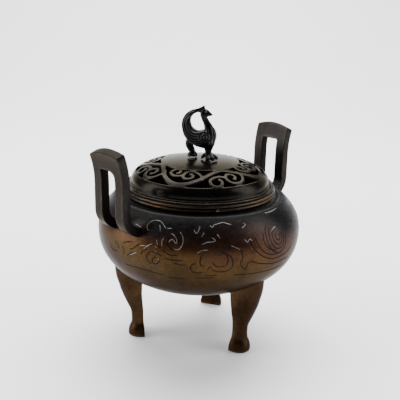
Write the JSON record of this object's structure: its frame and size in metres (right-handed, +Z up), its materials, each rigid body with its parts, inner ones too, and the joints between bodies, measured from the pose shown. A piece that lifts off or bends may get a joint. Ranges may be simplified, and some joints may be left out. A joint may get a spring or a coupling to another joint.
{
  "type": "bronze ding vessel",
  "caption": "Ding-shaped bronze incense burner: round bowl on hoofed legs, upright slotted ears and a pierced dome lid with a bird finial.",
  "frame": {"origin": "on the bowl's axis at floor level, in the middle of the object's plan", "axes": "+Z up along the bowl's axis; the ears lie on the X axis, the one with the rounded slot corner at -X; the first leg points towards -Y"},
  "size_m": [0.1532, 0.1296, 0.1525],
  "materials": {
    "brown_bronze": "satin",
    "dark_bronze": "satin",
    "black_bronze": "satin"
  },
  "bodies": {
    "root": {"vessel": "brown_bronze", "lid": "dark_bronze", "bird_finial": "black_bronze"}
  },
  "joints": []
}
